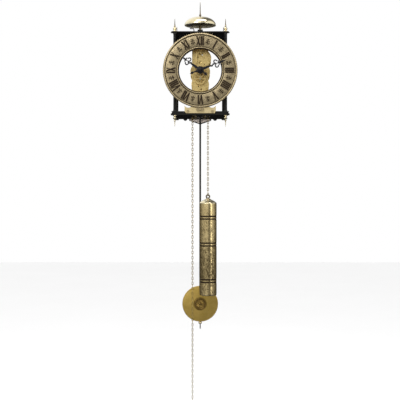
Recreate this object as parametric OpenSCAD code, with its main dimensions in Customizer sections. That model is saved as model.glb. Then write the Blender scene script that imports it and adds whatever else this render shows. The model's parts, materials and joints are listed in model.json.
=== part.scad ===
/* [Dial and hands] */
// Outside diameter of the chapter ring
dial_d = 141; // [139:0.5:143]
// Diameter of the opening in the chapter ring
dial_opening_d = 79.6; // [76:0.4:82]
// Length of the minute hand from the arbor to its tip
minute_hand_len = 52.4; // [48:0.4:56]
// Length of the hour hand from the arbor to its tip
hour_hand_len = 41.7; // [39:0.3:44]
// Hands at rest: hour hand, degrees clockwise from twelve
hour_angle = 305.5; // [270:0.5:340]
// Hands at rest: minute hand, degrees clockwise from twelve
minute_angle = 69; // [40:1:100]

/* [Frame] */
// Width of the front lip of the frame plates
frame_w = 111; // [109:1:115]
// Depth of the frame from its front lip to its back edge
frame_depth = 100; // [98:1:102]
// Gap between the back of the frame and the wall
wall_gap = 32; // [30:1:36]
// Thickness of the top plate
top_t = 2; // [2:0.5:3]
// Thickness of the bottom plate
bottom_t = 7; // [6:0.5:8]

/* [Bell] */
// Diameter of the bell at its rim
bell_d = 61; // [58:1:64]
// Height of the bell
bell_h = 17; // [16:0.5:19]

/* [Chain and weight] */
// Distance between the two hanging runs of the chain
chain_gap = 30; // [29:0.5:31]
// Outside width of the chain
chain_d = 3.8; // [3:0.2:4]
// Diameter of the weight
weight_d = 33.7; // [30:0.1:35]
// Length of the weight's tube
weight_len = 176; // [150:1:200]

/* [Pendulum] */
// Diameter of the bob
bob_d = 70.5; // [60:0.5:76]
// Width of the pendulum rod
rod_d = 3.6; // [3:0.2:3.8]

/* [Hidden] */
$fn = 64;

// Colours
antique = [0.56, 0.49, 0.33];
brass = [0.80, 0.68, 0.34];
pale_brass = [0.92, 0.86, 0.62];
gold = [0.62, 0.50, 0.20];
iron = [0.10, 0.10, 0.09];
ink = [0.16, 0.11, 0.05];
steel = [0.55, 0.56, 0.58];

// Heights are measured from the centre of the dial, which lies this far
// below the hanging hole. Depths are measured from the wall, towards -Y.
dial_z = -64;
play = 0.05; // radial play of every running fit

// Frame
back_y = -wall_gap;
front_y = back_y - frame_depth;
plate_w = 99;
lip_depth = 12;
ogee_w = 2;
top_z = 72.6; // underside of the top plate
floor_z = -76.2; // upper face of the bottom plate
base_z = floor_z - bottom_t;
post_r = 2.9;
stud_r = 2;
front_post = [48, front_y + 6];
rear_post = [46, back_y - 9];
hang_z = -dial_z;
hang_r = 4;

// Dial
ring_front = front_y - 8; // front of the ring's raised rims
ring_back = front_y - 4;
ring_face = ring_front + 1.2;
ring_r = dial_d / 2;
opening_r = dial_opening_d / 2;
rim_w = 3.4;
numeral_low = 46.8; // radius at the foot of the numerals
numeral_high = 63.8;
bar_pitch = 3.5;
slant = 2.7;
bold = 2;
fine = 0.9;

// Movement
plate_front = front_y + 16; // front face of the front movement plate
plate_back = back_y - 34; // front face of the back movement plate
sheet = 2;
arbor_front = plate_front - 1.5;
arbor_back = plate_back + sheet + 1.5;
arbor_r = 1;
centre_r = 1.5;
great_r = 2;
cannon_r = 2.6;
hour_tube_r = 3.8;

// Wheel train: teeth, tooth module and arbor heights
m_great = 0.6;
m_train = 0.5;
m_hour = 0.576;
great_teeth = 60;
mid_pinion = 16;
mid_teeth = 54;
centre_pinion = 16;
centre_teeth = 64;
third_pinion = 8;
third_teeth = 60;
escape_pinion = 8;
escape_teeth = 42;
cannon_teeth = 12;
minute_teeth = 36;
minute_pinion = 10;
hour_teeth = 40;
mid_z = -m_train * (mid_teeth + centre_pinion) / 2;
great_z = mid_z - m_great * (great_teeth + mid_pinion) / 2;
third_z = m_train * (centre_teeth + third_pinion) / 2;
escape_z = third_z + m_train * (third_teeth + escape_pinion) / 2;
anchor_z = escape_z + 16;
motion_a = -90; // direction of the motion stud from the centre
motion_r = m_great * (cannon_teeth + minute_teeth) / 2;
motion_x = motion_r * cos(motion_a);
motion_z = motion_r * sin(motion_a);
escape_r = 11;
great_y = plate_front + 25.5; // front faces of the wheels
third_y = plate_front + 21.5;
escape_y = plate_back - 10;
pallet_a = 42; // pallets each side of the line of centres
click_at = [11.4, 4];
spring_post = [-6.7, 11.6];

// Hands
hour_y = ring_front - 3.6;
minute_y = hour_y - 3.4;
hand_t = 1.2;
nut_h = 4.4; // height of the cap nut on the centre arbor

// Bell and strike
rim_z = 94.4;
bell_t = 1.5;
hammer_x = -6;
hammer_z = 58;
pillars = [[-12, 66], [12, 66], [-9.5, -66], [9.5, -66]];
dial_side_holes = [[-4.4, 27.4, 1.3], [-3.6, -28, 1.1], [2, -33.4, 1.4], [8.6, 14, 1]];

// Chain, weight and pendulum
chain_y = (plate_front + plate_back + sheet) / 2 + 11;
chain_x = chain_gap / 2;
chain_r = chain_d / 2;
weight_top = -250.6;
weight_low = weight_top - weight_len - 2;
weight_r = weight_d / 2;
wall_t = 0.8;
weight_eye_z = -237;
grooves = [-275.4, -280.6, -327, -332.4, -397.4, -402.8];
free_end_z = -645;
swing_y = back_y - 12;
bob_z = -448.7;
bob_r = bob_d / 2;
rod_r = rod_d / 2;
rod_top_z = anchor_z - 22;

// ---- helpers ----

// Places children that are drawn about the centre of the dial
module at_dial() { translate([0, 0, dial_z]) children(); }

// Extrudes a flat outline, drawn in X and Z, from y backwards by t
module upright(y, t) {
  translate([0, y + t, 0]) rotate([90, 0, 0]) linear_extrude(t) children();
}

// Round bar along Y from y0 to y1
module bar_y(y0, y1, r, x = 0, z = 0) {
  translate([x, y0, z]) rotate([-90, 0, 0]) cylinder(r = r, h = y1 - y0);
}

// Round bar along Z from z0 to z1
module bar_z(z0, z1, r, x = 0, y = 0) {
  translate([x, y, z0]) cylinder(r = r, h = z1 - z0);
}

// Block between two corners
module block(a, b) { translate(a) cube(b - a); }

// Turned piece about Z from a list of radius and height pairs
module turned(points) { rotate_extrude() polygon(points); }

// Straight stroke with a width at each end
module stroke(a, b, wa, wb) {
  d = [b[1] - a[1], a[0] - b[0]] / norm(b - a) / 2;
  polygon([a - d * wa, a + d * wa, b + d * wb, b - d * wb]);
}

// Arc of a ring between two angles less than 180 degrees apart
module arc(r, w, a0, a1) {
  far = 2 * (r + w);
  intersection() {
    difference() {
      circle(r + w / 2);
      circle(r - w / 2);
    }
    polygon([[0, 0], for (k = [0:4]) let (a = a0 + (a1 - a0) * k / 4) far * [cos(a), sin(a)]]);
  }
}

// Gear outline with one tooth centred on the direction "turn"
module gear(teeth, m, turn = 0) {
  r = teeth * m / 2;
  pitch = 360 / teeth;
  polygon([
    for (i = [0:teeth - 1])
      for (p = [[-0.95, -0.22], [0.62, -0.08], [0.62, 0.08], [-0.95, 0.22]])
        (r + p[0] * m) * [cos(turn + pitch * (i + p[1])), sin(turn + pitch * (i + p[1]))]
  ]);
}

// Gear outline crossed out between its hub and its rim
module crossed(teeth, m, turn, hub_r, rim_r, arms) {
  difference() {
    gear(teeth, m, turn);
    difference() {
      circle(rim_r);
      circle(hub_r);
      for (k = [0:arms - 1]) rotate(k * 360 / arms) translate([0, -0.8]) square([rim_r + 1, 1.6]);
    }
  }
}

// ---- frame ----

// Plate with rounded rear corners and a wider front lip with ogee ends
module frame_plate(z, t) {
  corner = 9;
  ogee = [[0, 0], [0, 0.35], [1, 0.5], [1, 0.8], [0.5, 1]];
  difference() {
    union() {
      difference() {
        block([-plate_w / 2, front_y, z], [plate_w / 2, back_y, z + t]);
        for (s = [-1, 1])
          translate([s * (plate_w / 2 - corner), back_y - corner, z - 1])
            difference() {
              translate([s > 0 ? 0 : -2 * corner, 0, 0]) cube([2 * corner, 2 * corner, t + 2]);
              cylinder(r = corner, h = t + 2);
            }
      }
      translate([0, front_y + lip_depth, 0]) rotate([90, 0, 0]) linear_extrude(lip_depth)
        polygon([
          for (s = [-1, 1], k = [0:4]) let (p = ogee[s < 0 ? 4 - k : k])
            [s * (frame_w / 2 - p[0] * ogee_w), z + p[1] * t]
        ]);
    }
    for (s = [-1, 1]) {
      bar_z(z - 1, z + t + 1, stud_r + play, s * front_post[0], front_post[1]);
      bar_z(z - 1, z + t + 1, stud_r + play, s * rear_post[0], rear_post[1]);
      for (y = [plate_front + 6, plate_back - 4])
        bar_z(z - 1, z + t + 1, 1.5, s * 9, y);
    }
  }
}

module top_plate() {
  color(iron) at_dial() difference() {
    frame_plate(top_z, top_t);
    bar_z(top_z - 1, top_z + top_t + 1, 2.5 + play, 0, chain_y);
    block([-12.5, chain_y - 3, top_z - 1], [-4, chain_y + 3, top_z + top_t + 1]);
    for (s = [-1, 1])
      bar_z(top_z - 1, top_z + top_t + 1, 1.5 + play, s * 8, back_y - 8);
  }
}

module bottom_plate() {
  color(iron) at_dial() difference() {
    frame_plate(base_z, bottom_t);
    for (s = [-1, 1]) bar_z(base_z - 1, floor_z + 1, 5, s * chain_x, chain_y);
    block([-12, swing_y - 5, base_z - 1], [12, swing_y + 5, floor_z + 1]);
    for (s = [-1, 1]) bar_z(base_z - 1, floor_z + 1, 5, s * 12, swing_y);
  }
}

// Turned post with a collar at each end, bored for the finial studs
module post(x, y) {
  h = top_z - floor_z;
  color(iron) at_dial() translate([x, y, floor_z]) difference() {
    turned([
      [0, 0], [3.4, 0], [3.4, 2.5], [post_r, 3.5], [post_r, h - 3.5],
      [3.4, h - 2.5], [3.4, h], [0, h]
    ]);
    translate([0, 0, -1]) cylinder(r = stud_r + play, h = 9);
    translate([0, 0, h - 8]) cylinder(r = stud_r + play, h = 9);
  }
}

module post_front_left() { post(-front_post[0], front_post[1]); }
module post_front_right() { post(front_post[0], front_post[1]); }
module post_rear_left() { post(-rear_post[0], rear_post[1]); }
module post_rear_right() { post(rear_post[0], rear_post[1]); }

// Spike finial standing on z = 0, with its stud below
module spike(h, stud) {
  turned([
    [0, -stud], [stud_r, -stud], [stud_r, 0], [4.2, 0], [4.2, 1.2], [2.2, 2.4],
    [2, 3.4], [3.2, 4.4], [3.6, 5.8], [3.2, 7.2], [1.6, 8.6], [1.3, 9.6],
    [1.9, 10.4], [1.3, 11.2], [0.9, 13], [0.35, h - 0.3], [0, h]
  ]);
}

module top_finials() {
  color(pale_brass) at_dial()
    for (s = [-1, 1], p = [front_post, rear_post])
      translate([s * p[0], p[1], top_z + top_t]) spike(24.4, top_t + 6);
}

module bottom_finials() {
  color(pale_brass) at_dial()
    for (s = [-1, 1])
      translate([s * front_post[0], front_post[1], base_z]) rotate([180, 0, 0])
        spike(21.8, bottom_t + 6);
}

module rear_post_nuts() {
  color(iron) at_dial()
    for (s = [-1, 1]) {
      bar_z(base_z, floor_z + 6, stud_r, s * rear_post[0], rear_post[1]);
      bar_z(base_z - 2.4, base_z, 3.6, s * rear_post[0], rear_post[1]);
    }
}

module hanger_bracket() {
  tongue_z = top_z + top_t;
  color(iron) at_dial() difference() {
    union() {
      block([-15, back_y - 14, tongue_z], [15, 0, tongue_z + 2]);
      block([-15, -2.5, hang_z - 14], [15, 0, tongue_z + 2]);
    }
    bar_y(-4, 1, hang_r, 0, hang_z);
    for (s = [-1, 1]) bar_z(tongue_z - 1, tongue_z + 3, 1.5 + play, s * 8, back_y - 8);
  }
}

// Pan-head screw along Z from the tip to the underside of its head
module screw_z(x, y, tip, seat) {
  out = sign(seat - tip);
  translate([x, y, 0]) {
    bar_z(min(tip, seat), max(tip, seat), 1.5);
    bar_z(min(seat, seat + out * 1.6), max(seat, seat + out * 1.6), 2.8);
  }
}

// Screws that hold the movement between the plates, and the hanger on top
module frame_screws() {
  color(antique) at_dial() for (s = [-1, 1]) {
    for (y = [plate_front + 6, plate_back - 4]) {
      screw_z(s * 9, y, floor_z + sheet, base_z);
      screw_z(s * 9, y, top_z - sheet, top_z + top_t);
    }
    screw_z(s * 8, back_y - 8, top_z - 1.6, top_z + top_t + 2);
  }
}

module wall_spacers() {
  color(iron) at_dial()
    for (s = [-1, 1]) translate([s * 30, back_y, floor_z - 3.5]) rotate([-90, 0, 0])
      turned([
        [0, 0], [4, 0], [4, 2], [2.4, 3], [2.4, wall_gap - 4], [4, wall_gap - 2],
        [4, wall_gap], [0, wall_gap]
      ]);
}

// Outline of the shield below the back of the frame
module shield(w, top, side, tip) { polygon([[-w, top], [-w, side], [0, tip], [w, side], [w, top]]); }

module rear_apron() {
  color(iron) at_dial() upright(back_y, 1.5) shield(22, floor_z - 1, base_z - 2.8, base_z - 10.4);
}

module apron_ornament() {
  relief_y = back_y - 1.5;
  color(steel) at_dial() {
    upright(relief_y, 1.5) shield(20, base_z - 0.4, base_z - 1.8, base_z - 8.4);
    for (s = [-1, 1], k = [0:2])
      bar_y(relief_y - 0.8, relief_y, 1.9 - 0.35 * k, s * (3.6 + 5.2 * k), base_z - 3.8 + 0.6 * k);
  }
}

// ---- dial ----

module chapter_ring() {
  color(antique) at_dial() {
    translate([0, ring_back, 0]) rotate([90, 0, 0]) rotate_extrude($fn = 128)
      polygon([
        [opening_r, 0], [ring_r, 0], [ring_r, 3.2], [ring_r - 0.8, 4],
        [ring_r - rim_w + 0.6, 4], [ring_r - rim_w, 2.8], [opening_r + rim_w, 2.8],
        [opening_r + rim_w - 0.6, 4], [opening_r + 0.8, 4], [opening_r, 3.2]
      ]);
    difference() {
      block([-7.5, ring_back - 2, -76.5], [7.5, ring_back, -68]);
      bar_y(ring_back - 3, ring_back + 1, ring_r - 1);
      bar_y(ring_back - 3, ring_back + 1, 1 + play, 0, -73.8);
    }
  }
}

// Strokes of a numeral: x at the foot, x at the head, width
function bars(n, x0) = [for (k = [0:n - 1]) let (x = x0 + bar_pitch * k) [x, x, bold]];
function vee(x) = [[x, x - slant, bold], [x, x + slant, fine]];
function ex(x) = [[x + slant, x - slant, bold], [x - slant, x + slant, fine]];
NUMERALS = [
  bars(1, 0), bars(2, -1.75), bars(3, -3.5), bars(4, -5.25), vee(0),
  concat(vee(-1.8), bars(1, 3.4)), concat(vee(-3.6), bars(2, 1.6)),
  concat(vee(-5.2), bars(3, -0.2)), concat(bars(1, -4), ex(1.6)), ex(0),
  concat(ex(-1.6), bars(1, 4)), concat(ex(-3.6), bars(2, 2.2))
];

module numerals() {
  color(ink) at_dial() upright(ring_face - 0.7, 0.7)
    for (h = [1:12]) rotate(-30 * h)
      for (s = NUMERALS[h - 1]) stroke([s[0], numeral_low], [s[1], numeral_high], s[2], s[2]);
}

module dial_bracket() {
  half = 29.5;
  low = -80.4;
  color(pale_brass) at_dial() difference() {
    union() {
      upright(front_y - 2, 2) difference() {
        translate([-half, low]) square([2 * half, 16]);
        for (s = [-1, 1]) {
          translate([s * (half + 1), low - 0.5]) circle(3.4);
          translate([s * (half - 7), low + 18.5]) circle(8);
        }
      }
      block([-6, front_y - 4, -78], [6, front_y - 2, -66]);
    }
    for (s = [-1, 1]) bar_y(front_y - 5, front_y + 1, 1.5 + play, s * 23, -76.8);
    bar_y(front_y - 6, front_y + 1, 1 + play, 0, -73.8);
  }
}

module dial_screws() {
  color(antique) at_dial() {
    for (s = [-1, 1]) bar_y(front_y - 3.4, front_y - 2, 2.4, s * 23, -76.8);
    for (s = [-1, 1]) bar_y(front_y - 2, front_y, 1.5, s * 23, -76.8);
    bar_y(ring_back - 3.4, ring_back - 2, 2, 0, -73.8);
    bar_y(ring_back - 2, front_y, 1, 0, -73.8);
  }
}

module dial_top_tab() {
  color(iron) at_dial() {
    block([-5, ring_back, 64], [5, front_y, top_z + top_t + 2.4]);
    block([-5, front_y, top_z + top_t], [5, front_y + 8, top_z + top_t + 2.4]);
  }
}

// ---- bell and strike ----

function dome(r, h) = [for (k = [0:12]) let (a = 7.5 * k) [r * pow(cos(a), 0.9), rim_z + h * sin(a)]];

module bell() {
  inner = dome(bell_d / 2 - bell_t, bell_h - bell_t);
  outer = dome(bell_d / 2, bell_h);
  color(pale_brass) at_dial() translate([0, chain_y, 0]) difference() {
    turned(concat(outer, [for (k = [12:-1:0]) inner[k]]));
    bar_z(rim_z, rim_z + bell_h + 1, 2 + play);
  }
}

module bell_post() {
  color(antique) at_dial() translate([0, chain_y, 0]) {
    bar_z(top_z - 3.5, top_z, 4);
    bar_z(top_z, rim_z + bell_h - bell_t - 0.5, 2.5);
    bar_z(rim_z + bell_h - bell_t - 0.5, rim_z + bell_h, 2);
    bar_z(top_z + top_t, top_z + top_t + 4, 4.5);
  }
}

module bell_finial() {
  z0 = rim_z + bell_h;
  color(pale_brass) at_dial() translate([0, chain_y, z0])
    turned([
      [0, 0], [2.8, 0], [2.8, 0.9], [1.4, 1.8], [2.1, 3], [2.1, 4], [1.1, 5.2],
      [0.9, 8], [0.35, 28.2], [0, 28.8]
    ]);
}

module hammer() {
  t = 2.4;
  color(steel) at_dial() {
    difference() {
      upright(chain_y - t / 2, t) {
        translate([hammer_x, hammer_z]) circle(3);
        stroke([hammer_x, hammer_z], [-13, 89], 3, 2.2);
        stroke([-12, 89], [-20.2, 89], 2.2, 2.2);
        stroke([-19.1, 89], [-19.1, 96], 2.2, 2.2);
      }
      bar_y(chain_y - t, chain_y + t, arbor_r, hammer_x, hammer_z);
    }
    translate([-23, chain_y, 96]) rotate([0, 90, 0]) difference() {
      cylinder(r = 2.8, h = 8);
      block([-0.01, -t / 2, 2.8], [3, t / 2, 5]);
    }
  }
}

module strike_lever() {
  y = plate_front - 4.6;
  color(brass) at_dial() {
    bar_y(y - 0.6, plate_back + sheet - 0.2, arbor_r, hammer_x, hammer_z);
    upright(y, 1.6) difference() {
      union() {
        translate([hammer_x, hammer_z]) circle(3);
        stroke([hammer_x - 0.6, hammer_z], [-7.6, 6], 2.6, 1.8);
        stroke([-8.2, 5.6], [-5.6, 5.6], 1.8, 1.4);
      }
      translate([hammer_x, hammer_z]) circle(arbor_r);
    }
  }
}

// ---- movement ----

// Outline of the movement plates: a straight strip with three swellings
module plate_outline() {
  difference() {
    union() {
      translate([-15.5, floor_z]) square([31, top_z - floor_z]);
      translate([3.6, 26]) circle(17.4);
      circle(18.8);
      translate([0, -24]) circle(16.8);
    }
    translate([20.4, 9.6]) circle(3.6);
    for (s = [-1, 1]) translate([s * 18.4, -52]) circle(4.6);
  }
}

module plate_foot(y0, y1) {
  for (z = [floor_z, top_z - sheet]) difference() {
    block([-14, y0, z], [14, y1, z + sheet]);
    for (s = [-1, 1], y = [plate_front + 6, plate_back - 4])
      bar_z(z - 1, z + sheet + 1, 1.5, s * 9, y);
  }
}

module arbor_holes(y, t) {
  bar_y(y - 1, y + t + 1, great_r + play, 0, great_z);
  for (z = [mid_z, third_z, escape_z, anchor_z]) bar_y(y - 1, y + t + 1, arbor_r + play, 0, z);
  bar_y(y - 1, y + t + 1, centre_r + play);
  bar_y(y - 1, y + t + 1, arbor_r + play, hammer_x, hammer_z);
  for (p = pillars) bar_y(y - 1, y + t + 1, 1.5 + play, p[0], p[1]);
}

module movement_front_plate() {
  color(brass) at_dial() {
    difference() {
      upright(plate_front, sheet) difference() {
        plate_outline();
        polygon([[2.2, 34.6], [5.6, 34.6], [3.8, 30.6]]);
        for (p = dial_side_holes) translate([p[0], p[1]]) circle(p[2]);
      }
      arbor_holes(plate_front, sheet);
      bar_y(plate_front - 1, plate_front + sheet + 1, 1.5, motion_x, motion_z);
    }
    plate_foot(plate_front + sheet, plate_front + 11);
  }
}

module movement_back_plate() {
  color(brass) at_dial() {
    difference() {
      upright(plate_back, sheet) difference() {
        plate_outline();
        translate([1.8, 36]) square([4.4, 7]);
      }
      arbor_holes(plate_back, sheet);
    }
    plate_foot(plate_back - 9, plate_back);
  }
}

module movement_pillars() {
  color(brass) at_dial() for (p = pillars) translate([p[0], plate_front - 3.5, p[1]])
    rotate([-90, 0, 0]) {
      span = plate_back - plate_front - sheet;
      cylinder(r = 1.5, h = 3.5 + sheet);
      translate([0, 0, 3.5 + sheet]) turned([
        [0, 0], [3, 0], [3, 2], [2.3, 3], [2.3, span / 2 - 3], [3, span / 2],
        [2.3, span / 2 + 3], [2.3, span - 3], [3, span - 2], [3, span], [0, span]
      ]);
      translate([0, 0, 3.5 + sheet + span]) cylinder(r = 1.5, h = 3.5 + sheet);
    }
}

module pillar_nuts() {
  color(antique) at_dial() for (p = pillars, y = [plate_front - 2.6, plate_back + sheet])
    difference() {
      translate([p[0], y, p[1]]) rotate([-90, 0, 0]) cylinder(r = 3.2, h = 2.6, $fn = 6);
      bar_y(y - 1, y + 4, 1.5, p[0], p[1]);
    }
}

module motion_stud() {
  color(steel) at_dial() {
    bar_y(plate_front, plate_front + sheet, 1.5, motion_x, motion_z);
    bar_y(plate_front - 15, plate_front, 1.2, motion_x, motion_z);
  }
}

module back_cock() {
  y0 = plate_back + sheet;
  color(brass) at_dial() difference() {
    union() {
      block([-6, y0, anchor_z + 5], [6, y0 + 2, anchor_z + 16]);
      block([-6, y0 + 2, anchor_z + 5], [6, swing_y + 5, anchor_z + 9]);
      block([-5, swing_y - 3, anchor_z - 4], [5, swing_y + 3, anchor_z + 5]);
    }
    bar_y(swing_y - 5, swing_y + 5, 1.5 + play, 0, anchor_z);
    block([-0.9, swing_y - 5, anchor_z - 6], [0.9, swing_y + 5, anchor_z]);
  }
}

// ---- hands and motion work ----

// Serpentine hand pointing up: shaft, wave, two scrolls, cross, leaf and tail
module hand_outline(len, tail, hub, cross_r) {
  shaft = 22;
  scroll_r = 3.1;
  wave = (cross_r - 9 - shaft) / 2;
  circle(hub);
  stroke([0, 0], [0, shaft], 5.2, 3);
  stroke([0, shaft - 1], [0, cross_r], 1.5, 1.5);
  for (k = [0, 1]) translate([0, shaft + wave * (2 * k + 1) / 2])
    arc(wave / 2 + 0.6, 1.8, k * 180 - 85, k * 180 + 85);
  for (s = [-1, 1]) translate([s * 4.2, cross_r - 5]) {
    arc(scroll_r, 2, s > 0 ? -179 : 269, s > 0 ? -89 : 359);
    arc(scroll_r, 2, s > 0 ? -90 : 100, s > 0 ? 80 : 270);
  }
  stroke([-4.4, cross_r], [4.4, cross_r], 2.8, 2.8);
  stroke([0, cross_r - 1], [0, len], 3.6, 0.9);
  stroke([0, 0], [0, 4 - tail], 3.8, 2.6);
  stroke([0, 6 - tail], [0, 2 - tail], 2.6, 6.4);
  stroke([0, 2.1 - tail], [0, -tail], 6.4, 1.2);
}

module minute_hand() {
  color(iron) at_dial() upright(minute_y, hand_t) rotate(-minute_angle) difference() {
    hand_outline(minute_hand_len, 20.7, 5.4, 37);
    circle(cannon_r);
  }
}

module hour_hand() {
  color(iron) at_dial() upright(hour_y, hand_t) rotate(-hour_angle) difference() {
    hand_outline(hour_hand_len, 17, 7, 33);
    circle(hour_tube_r);
  }
}

module hand_nut() {
  color(iron) at_dial() difference() {
    translate([0, minute_y - nut_h, 0]) rotate([-90, 0, 0])
      turned([[0, 0], [1.8, 0.3], [3, 1.4], [3.4, 2.8], [3.4, nut_h], [0, nut_h]]);
    bar_y(minute_y - nut_h + 1.4, minute_y + 1, centre_r + play);
  }
}

module cannon_pinion() {
  cam_y = plate_front - 4.6;
  color(brass) at_dial() difference() {
    union() {
      bar_y(minute_y, plate_front - 0.4, cannon_r);
      upright(plate_front - 8.6, 3) gear(cannon_teeth, m_great, motion_a);
      upright(cam_y, 1.6) translate([0.8, 0]) circle(3.6);
    }
    bar_y(minute_y - 1, plate_front + 1, centre_r + play);
  }
}

module hour_wheel() {
  y = plate_front - 12;
  color(brass) at_dial() difference() {
    union() {
      bar_y(hour_y, y + 3, hour_tube_r);
      upright(y, 1.6) crossed(hour_teeth, m_hour, motion_a + 180 / hour_teeth, 5.2, 9.4, 4);
    }
    bar_y(hour_y - 1, y + 4, cannon_r + play);
  }
}

module minute_wheel() {
  color(brass) at_dial() translate([motion_x, 0, motion_z]) difference() {
    union() {
      upright(plate_front - 8.2, 1.6)
        crossed(minute_teeth, m_great, motion_a + 180 + 180 / minute_teeth, 4, 8.6, 4);
      upright(plate_front - 13, 4.8) gear(minute_pinion, m_hour, motion_a + 180);
    }
    bar_y(plate_front - 14, plate_front, 1.2 + play);
  }
}

// ---- going train ----

module centre_wheel() {
  color(brass) at_dial() {
    bar_y(minute_y - nut_h + 1.6, arbor_back, centre_r);
    upright(plate_front + 5, 1.5) crossed(centre_teeth, m_train, 90, 3.5, 13.6, 5);
    upright(plate_front + 12, 6) gear(centre_pinion, m_train, 270 + 180 / centre_pinion);
  }
}

module great_wheel() {
  color(brass) at_dial() translate([0, 0, great_z]) {
    bar_y(arbor_front, arbor_back, great_r);
    upright(great_y, 2) crossed(great_teeth, m_great, 90, 12.4, 15, 6);
  }
}

module click() {
  color(steel) at_dial() translate([0, 0, great_z]) upright(great_y + 2, 2) difference() {
    union() {
      translate(click_at) circle(1.8);
      stroke(click_at, [6.6, 7.4], 2.4, 1.2);
    }
    translate(click_at) circle(0.7);
  }
}

module click_spring() {
  color(steel) at_dial() translate([0, 0, great_z]) upright(great_y + 2, 1.4) {
    stroke(spring_post, [7.4, 8.7], 0.5, 0.5);
    translate(spring_post) circle(1.2);
  }
}

module ratchet_wheel() {
  teeth = 16;
  color(steel) at_dial() translate([0, 0, great_z]) upright(great_y + 2.4, 2) difference() {
    polygon([
      for (k = [0:teeth - 1], p = [[9, 0], [7.6, 0.12]])
        p[0] * [cos(360 * (k + p[1]) / teeth), sin(360 * (k + p[1]) / teeth)]
    ]);
    circle(great_r + play);
  }
}

module sprocket() {
  y0 = great_y + 4.4;
  y1 = 2 * chain_y - y0;
  color(brass) at_dial() translate([0, 0, great_z]) difference() {
    translate([0, y0, 0]) rotate([-90, 0, 0]) turned([
      [0, 0], [chain_x + 1.6, 0], [chain_x + 1.6, 1.2], [chain_x - chain_r - 0.4, 2.6],
      [chain_x - chain_r - 0.4, y1 - y0 - 2.6], [chain_x + 1.6, y1 - y0 - 1.2],
      [chain_x + 1.6, y1 - y0], [0, y1 - y0]
    ]);
    bar_y(y0 - 1, y1 + 1, great_r + play);
    for (k = [0:5]) rotate([0, 60 * k, 0]) bar_y(y0 - 1, y1 + 1, 2.2, 8);
  }
}

module intermediate_wheel() {
  color(brass) at_dial() translate([0, 0, mid_z]) {
    bar_y(arbor_front, arbor_back, arbor_r);
    upright(plate_front + 13.5, 1.5) crossed(mid_teeth, m_train, 90, 5.4, 11.4, 5);
    upright(great_y - 1.8, 5) gear(mid_pinion, m_great, 270 + 180 / mid_pinion);
  }
}

module third_wheel() {
  color(brass) at_dial() translate([0, 0, third_z]) {
    bar_y(arbor_front, arbor_back, arbor_r);
    upright(plate_front + 3.6, 4) gear(third_pinion, m_train, 270 + 180 / third_pinion);
    upright(third_y, 1.4) crossed(third_teeth, m_train, 90, 3, 12.8, 5);
  }
}

module escape_wheel() {
  pitch = 360 / escape_teeth;
  color(brass) at_dial() translate([0, 0, escape_z]) {
    bar_y(arbor_front, arbor_back, arbor_r);
    upright(third_y - 1.6, 5) gear(escape_pinion, m_train, 270 + 180 / escape_pinion);
    upright(escape_y, 1.5) difference() {
      polygon([
        for (k = [0:escape_teeth - 1], p = [[escape_r, 0], [9.6, 0.25], [9.6, 0.9]])
          p[0] * [cos(pitch * (k + p[1])), sin(pitch * (k + p[1]))]
      ]);
      difference() {
        circle(8.4);
        circle(2.6);
        for (k = [0:3]) rotate(90 * k) translate([0, -0.7]) square([9, 1.4]);
      }
    }
  }
}

module pallet_anchor() {
  pallet_r = escape_r + 0.85;
  color(steel) at_dial() {
    upright(escape_y - 0.8, 3.2) {
      translate([0, escape_z]) rotate(90) {
        arc(14.7, 3, -pallet_a - 4, pallet_a + 4);
        for (s = [-1, 1]) rotate(s * pallet_a) translate([pallet_r, -0.8]) square([2.4, 1.6]);
      }
      translate([0, anchor_z]) circle(3);
    }
    bar_y(arbor_front, swing_y - 14, arbor_r, 0, anchor_z);
  }
}

module crutch() {
  y = swing_y - 15.6;
  fork = anchor_z - 40;
  color(steel) at_dial() difference() {
    union() {
      upright(y, 1.6) {
        translate([0, anchor_z]) circle(3);
        stroke([0, anchor_z], [0, fork], 3.4, 2.6);
      }
      block([-4.4, y, fork - 1.5], [4.4, swing_y + 3.4, fork + 1.5]);
    }
    bar_y(y - 1, y + 3, arbor_r, 0, anchor_z);
    block([-rod_r - 0.2, swing_y - 3.4, fork - 3], [rod_r + 0.2, swing_y + 5, fork + 3]);
  }
}

// ---- chain ----

module chain_wrap() {
  color(pale_brass) at_dial() translate([0, chain_y, great_z]) rotate([90, 0, 0])
    rotate_extrude(angle = 180) translate([chain_x, 0]) circle(chain_r);
}

module weight_chain() {
  color(pale_brass) at_dial() bar_z(weight_eye_z + 4.5, great_z, chain_r, chain_x, chain_y);
}

// Free run of the chain, with the ring at its end
module free_chain() {
  color(pale_brass) at_dial() bar_z(free_end_z, great_z, chain_r, -chain_x, chain_y);
}

module chain_end_ring() {
  color(pale_brass) at_dial() translate([-chain_x, chain_y, free_end_z - 7.4]) rotate([90, 0, 0])
    rotate_extrude() translate([6.2, 0]) circle(1.1);
}

// ---- weight ----

module weight_tube() {
  depth = 0.5;
  low = weight_low + 2;
  color(antique) at_dial() translate([chain_x, chain_y, 0]) turned(concat(
    [[weight_r - wall_t, low], [weight_r, low]],
    [for (k = [5:-1:0], p = [[0, -0.9], [-depth, -0.5], [-depth, 0.5], [0, 0.9]])
      [weight_r + p[0], grooves[k] + p[1]]],
    [[weight_r, weight_top], [weight_r - wall_t, weight_top]]
  ));
}

module weight_caps() {
  plug = weight_r - wall_t - play;
  color(pale_brass) at_dial() translate([chain_x, chain_y, 0]) {
    difference() {
      turned(concat(
        [[0, weight_top - 5], [plug, weight_top - 5], [plug, weight_top], [weight_r, weight_top]],
        [for (k = [1:6]) let (a = 15 * k) [6 + (weight_r - 6) * cos(a), weight_top + 7.4 * sin(a)]],
        [[5, weight_top + 9], [0, weight_top + 9]]
      ));
      bar_z(weight_top - 6, weight_top + 10, 2 + play);
    }
    turned([
      [0, weight_low], [weight_r - 1.2, weight_low], [weight_r, weight_low + 1],
      [weight_r, weight_low + 2], [plug, weight_low + 2], [plug, weight_low + 5],
      [0, weight_low + 5]
    ]);
  }
}

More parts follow.
